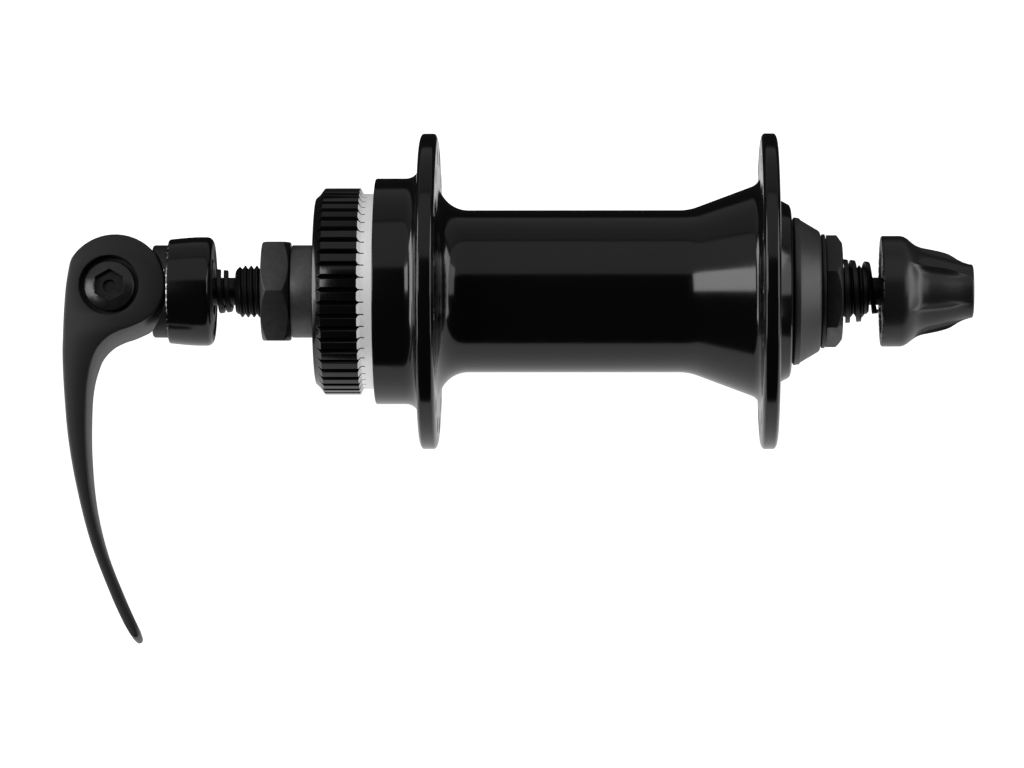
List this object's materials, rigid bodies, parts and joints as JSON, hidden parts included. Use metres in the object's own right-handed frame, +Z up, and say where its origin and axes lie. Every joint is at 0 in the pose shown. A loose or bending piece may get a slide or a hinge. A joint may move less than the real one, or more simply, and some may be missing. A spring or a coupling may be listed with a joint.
{
  "type": "bicycle front hub",
  "caption": "Quick-release front bicycle hub: flanged spool shell with a splined disc mount, cup-and-cone bearings on a hollow axle, and a cam-lever skewer with an acorn nut.",
  "frame": {"origin": "on the wheel axis, midway between the outer faces of the two locknuts", "axes": "+X along the wheel axis towards the acorn nut, with the lever at -X; +Z up with the closed lever hanging down; Y completes the frame"},
  "size_m": [0.1565, 0.0544, 0.0878],
  "materials": {
    "black_anodised_shell": "satin-gloss black anodising with a bare turned band",
    "black_oxide_axle": "black oxide, threaded",
    "black_oxide_spacer": "satin black oxide",
    "black_oxide_locknut_left": "satin black oxide",
    "black_oxide_locknut_right": "satin black oxide",
    "black_oxide_washer": "satin black oxide",
    "dark_seal_cap": "matte dark grey",
    "dark_rod_steel": "satin dark steel",
    "black_anodised_lever": "matte black, fine brushing",
    "black_pin_steel": "satin black oxide",
    "black_saddle_plastic": "matte black",
    "gloss_black_cup": "gloss black plating",
    "black_spring_left": "black flat wire",
    "black_spring_right": "black flat wire",
    "black_anodised_nut": "satin black",
    "bearing_cup_left_finish": "ground steel race",
    "cone_left_finish": "dark ground steel",
    "dust_shield_left_finish": "matte black",
    "bearing_ball_left": "polished bearing steel",
    "bearing_cup_right_finish": "ground steel race",
    "cone_right_finish": "dark ground steel",
    "dust_shield_right_finish": "matte black",
    "bearing_ball_right": "polished bearing steel"
  },
  "bodies": {
    "axle_set": {"axle": "black_oxide_axle", "cone_left": "cone_left_finish", "cone_right": "cone_right_finish", "spacer_left": "black_oxide_spacer", "locknut_left": "black_oxide_locknut_left", "locknut_right": "black_oxide_locknut_right", "washer_right": "black_oxide_washer", "seal_cap_right": "dark_seal_cap"},
    "hub_body": {"hub_shell": "black_anodised_shell", "bearing_cup_left": "bearing_cup_left_finish", "bearing_cup_right": "bearing_cup_right_finish", "dust_shield_left": "dust_shield_left_finish", "dust_shield_right": "dust_shield_right_finish"},
    "ball_train_left": {"ball_left_01": "bearing_ball_left", "ball_left_02": "bearing_ball_left", "ball_left_03": "bearing_ball_left", "ball_left_04": "bearing_ball_left", "ball_left_05": "bearing_ball_left", "ball_left_06": "bearing_ball_left", "ball_left_07": "bearing_ball_left", "ball_left_08": "bearing_ball_left", "ball_left_09": "bearing_ball_left", "ball_left_10": "bearing_ball_left"},
    "ball_train_right": {"ball_right_01": "bearing_ball_right", "ball_right_02": "bearing_ball_right", "ball_right_03": "bearing_ball_right", "ball_right_04": "bearing_ball_right", "ball_right_05": "bearing_ball_right", "ball_right_06": "bearing_ball_right", "ball_right_07": "bearing_ball_right", "ball_right_08": "bearing_ball_right", "ball_right_09": "bearing_ball_right", "ball_right_10": "bearing_ball_right"},
    "skewer_clamp": {"clamp_cup": "gloss_black_cup", "clamp_saddle": "black_saddle_plastic", "spring_left": "black_spring_left"},
    "draw_rod": {"skewer_rod": "dark_rod_steel"},
    "cam_lever": {"lever": "black_anodised_lever", "pivot_pin": "black_pin_steel"},
    "nut_carrier": {"spring_right": "black_spring_right"},
    "thumb_nut": {"acorn_nut": "black_anodised_nut"}
  },
  "joints": [
    {"name": "hub_spin", "type": "hinge", "parent": "axle_set", "child": "hub_body", "pos_m": [0, 0, 0], "axis": [1, 0, 0], "continuous": true},
    {"name": "ball_orbit_left", "type": "hinge", "parent": "axle_set", "child": "ball_train_left", "pos_m": [-0.0285, 0, 0], "axis": [1, 0, 0], "continuous": true},
    {"name": "ball_orbit_right", "type": "hinge", "parent": "axle_set", "child": "ball_train_right", "pos_m": [0.0353, 0, 0], "axis": [1, 0, 0], "continuous": true},
    {"name": "skewer_turn", "type": "hinge", "parent": "axle_set", "child": "skewer_clamp", "pos_m": [-0.0584, 0, 0], "axis": [1, 0, 0], "continuous": true},
    {"name": "rod_draw", "type": "slide", "parent": "skewer_clamp", "child": "draw_rod", "axis": [1, 0, 0], "range_m": [0, 0.00145]},
    {"name": "lever_throw", "type": "hinge", "parent": "draw_rod", "child": "cam_lever", "pos_m": [-0.0761, 0, 0], "axis": [0, 0.9848, -0.1736], "range_deg": [0, 145]},
    {"name": "nut_turn", "type": "hinge", "parent": "nut_carrier", "child": "thumb_nut", "pos_m": [0.0567, 0, 0], "axis": [1, 0, 0], "range_deg": [0, 1800]},
    {"name": "nut_travel", "type": "slide", "parent": "draw_rod", "child": "nut_carrier", "axis": [1, 0, 0], "range_m": [0, 0.004], "deforming": ["spring_right"]}
  ],
  "couplings": [
    {"joint": "ball_orbit_left", "follows": "hub_spin", "ratio": 0.6037},
    {"joint": "ball_orbit_right", "follows": "hub_spin", "ratio": 0.6037},
    {"joint": "rod_draw", "follows": "lever_throw", "m_per_rad": 0.00057296},
    {"joint": "nut_travel", "follows": "nut_turn", "m_per_rad": 0.00012732}
  ]
}
